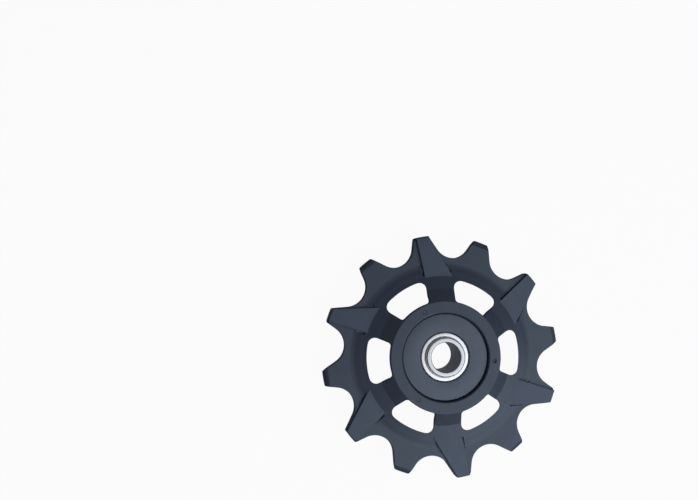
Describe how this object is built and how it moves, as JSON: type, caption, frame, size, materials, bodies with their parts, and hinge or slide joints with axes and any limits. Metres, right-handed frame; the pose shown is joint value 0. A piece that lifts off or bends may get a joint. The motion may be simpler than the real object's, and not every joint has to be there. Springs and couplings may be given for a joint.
{
  "type": "derailleur jockey wheel",
  "caption": "Black moulded jockey wheel with alternating narrow and wide teeth, windows between swept spokes, and a sealed ball bearing on a steel sleeve, for a rear derailleur.",
  "frame": {"origin": "centre of the axle bore, halfway along it, in the middle plane of the teeth", "axes": "+Z along the spin axis, out of the side with the raised hub flange; +Y through a wide tooth"},
  "size_m": [0.0502, 0.0502, 0.0083],
  "materials": {
    "moulded_nylon": "satin moulded",
    "cap_plastic": "satin moulded",
    "bearing_steel": "ground",
    "ball_steel": "polished",
    "cage_nylon": "moulded",
    "seal_rubber": "matt",
    "sleeve_steel": "turned"
  },
  "bodies": {
    "axle": {"axle_sleeve": "sleeve_steel", "bearing_inner_ring": "bearing_steel"},
    "wheel": {"wheel_body": "moulded_nylon", "front_dust_cap": "cap_plastic", "rear_dust_cap": "cap_plastic", "bearing_outer_ring": "bearing_steel", "front_seal": "seal_rubber", "rear_seal": "seal_rubber"},
    "ball_train": {"bearing_cage": "cage_nylon", "bearing_ball_1": "ball_steel", "bearing_ball_2": "ball_steel", "bearing_ball_3": "ball_steel", "bearing_ball_4": "ball_steel", "bearing_ball_5": "ball_steel", "bearing_ball_6": "ball_steel", "bearing_ball_7": "ball_steel", "bearing_ball_8": "ball_steel", "bearing_ball_9": "ball_steel"}
  },
  "joints": [
    {"name": "wheel_spin", "type": "hinge", "parent": "axle", "child": "wheel", "pos_m": [0, 0, 0], "axis": [0, 0, 1], "continuous": true},
    {"name": "ball_train_spin", "type": "hinge", "parent": "axle", "child": "ball_train", "pos_m": [0, 0, 0], "axis": [0, 0, 1], "continuous": true}
  ],
  "couplings": [
    {"joint": "ball_train_spin", "follows": "wheel_spin", "ratio": 0.59921}
  ]
}
